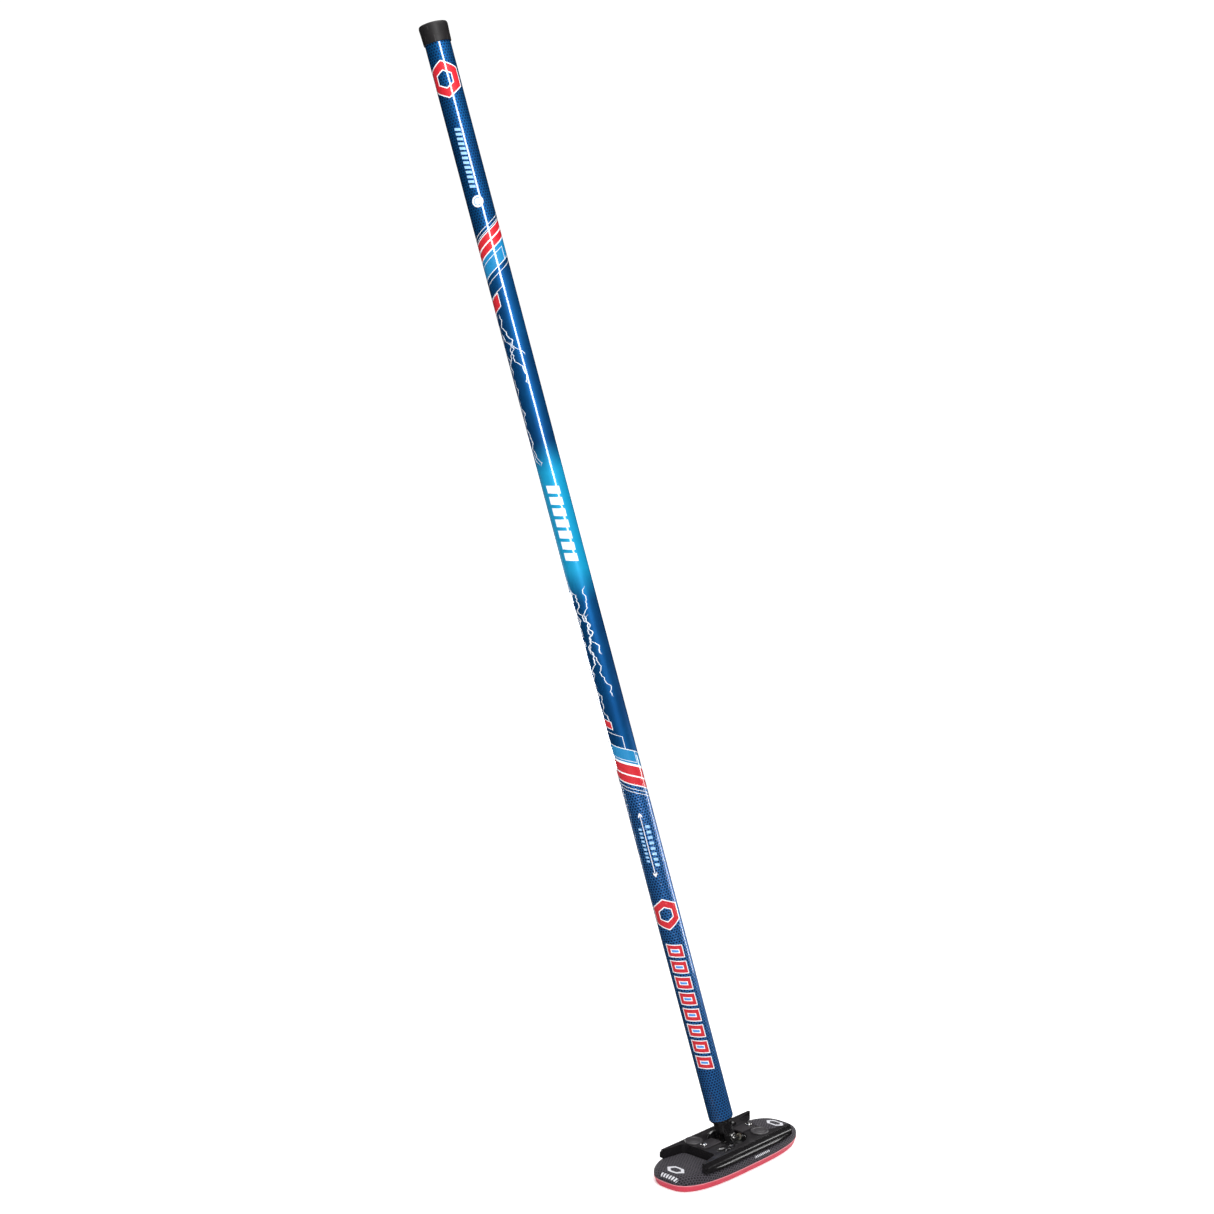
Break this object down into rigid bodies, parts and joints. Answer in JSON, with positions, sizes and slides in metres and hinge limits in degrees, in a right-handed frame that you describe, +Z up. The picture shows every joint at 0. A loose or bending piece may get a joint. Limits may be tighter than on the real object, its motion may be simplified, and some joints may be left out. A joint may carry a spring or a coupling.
{
  "type": "curling broom",
  "caption": "Curling broom: a round shaft on a two-axis swivel, with a flat oval head plate and a removable foam sweeping pad.",
  "frame": {"origin": "centre of the pad's flat sweeping face, which lies on the ice", "axes": "+X along the head, +Y across the head, +Z up out of the sweeping face; the shaft leans back over the -X, +Y corner"},
  "size_m": [0.307, 0.264, 1.142],
  "materials": {
    "shaft_lacquer": "gloss clear coat over printed carbon fibre",
    "cap_rubber": "matte",
    "gloss_plastic": "gloss moulded",
    "grained_plastic": "fine moulded grain",
    "fastener_steel": "bright zinc",
    "nylon": "natural nylon",
    "insert_brass": "machined",
    "sweeping_nylon": "tight coated weave",
    "cover_textile": "embossed honeycomb",
    "foam": "closed-cell foam",
    "stiffener_plastic": "moulded"
  },
  "bodies": {
    "shaft": {"shaft_tube": "shaft_lacquer", "end_cap": "cap_rubber", "neck": "gloss_plastic", "cross_bolt": "fastener_steel", "bolt_nut": "fastener_steel"},
    "swivel": {"swivel_block": "gloss_plastic", "head_axle": "fastener_steel", "friction_washer_near": "nylon", "friction_washer_far": "nylon"},
    "head": {"head_plate": "grained_plastic", "axle_bush_left": "nylon", "axle_bush_right": "nylon", "axle_tab_left": "grained_plastic", "axle_tab_right": "grained_plastic", "tab_screw_left": "fastener_steel", "tab_screw_right": "fastener_steel", "threaded_insert_left": "insert_brass", "threaded_insert_right": "insert_brass", "pad_stud_left": "grained_plastic", "pad_stud_right": "grained_plastic", "pad_stiffener": "stiffener_plastic", "foam_core": "foam", "pad_cover": "cover_textile", "sweeping_fabric": "sweeping_nylon"}
  },
  "joints": [
    {"name": "neck_tilt", "type": "hinge", "parent": "shaft", "child": "swivel", "pos_m": [0, 0.00109, 0.0262], "axis": [0, 0.9822, -0.1881], "range_deg": [-39.87, 20.13]},
    {"name": "head_tilt", "type": "hinge", "parent": "swivel", "child": "head", "pos_m": [0, 0, 0.0205], "axis": [1, 0, 0], "range_deg": [-55.84, 34.16]}
  ]
}
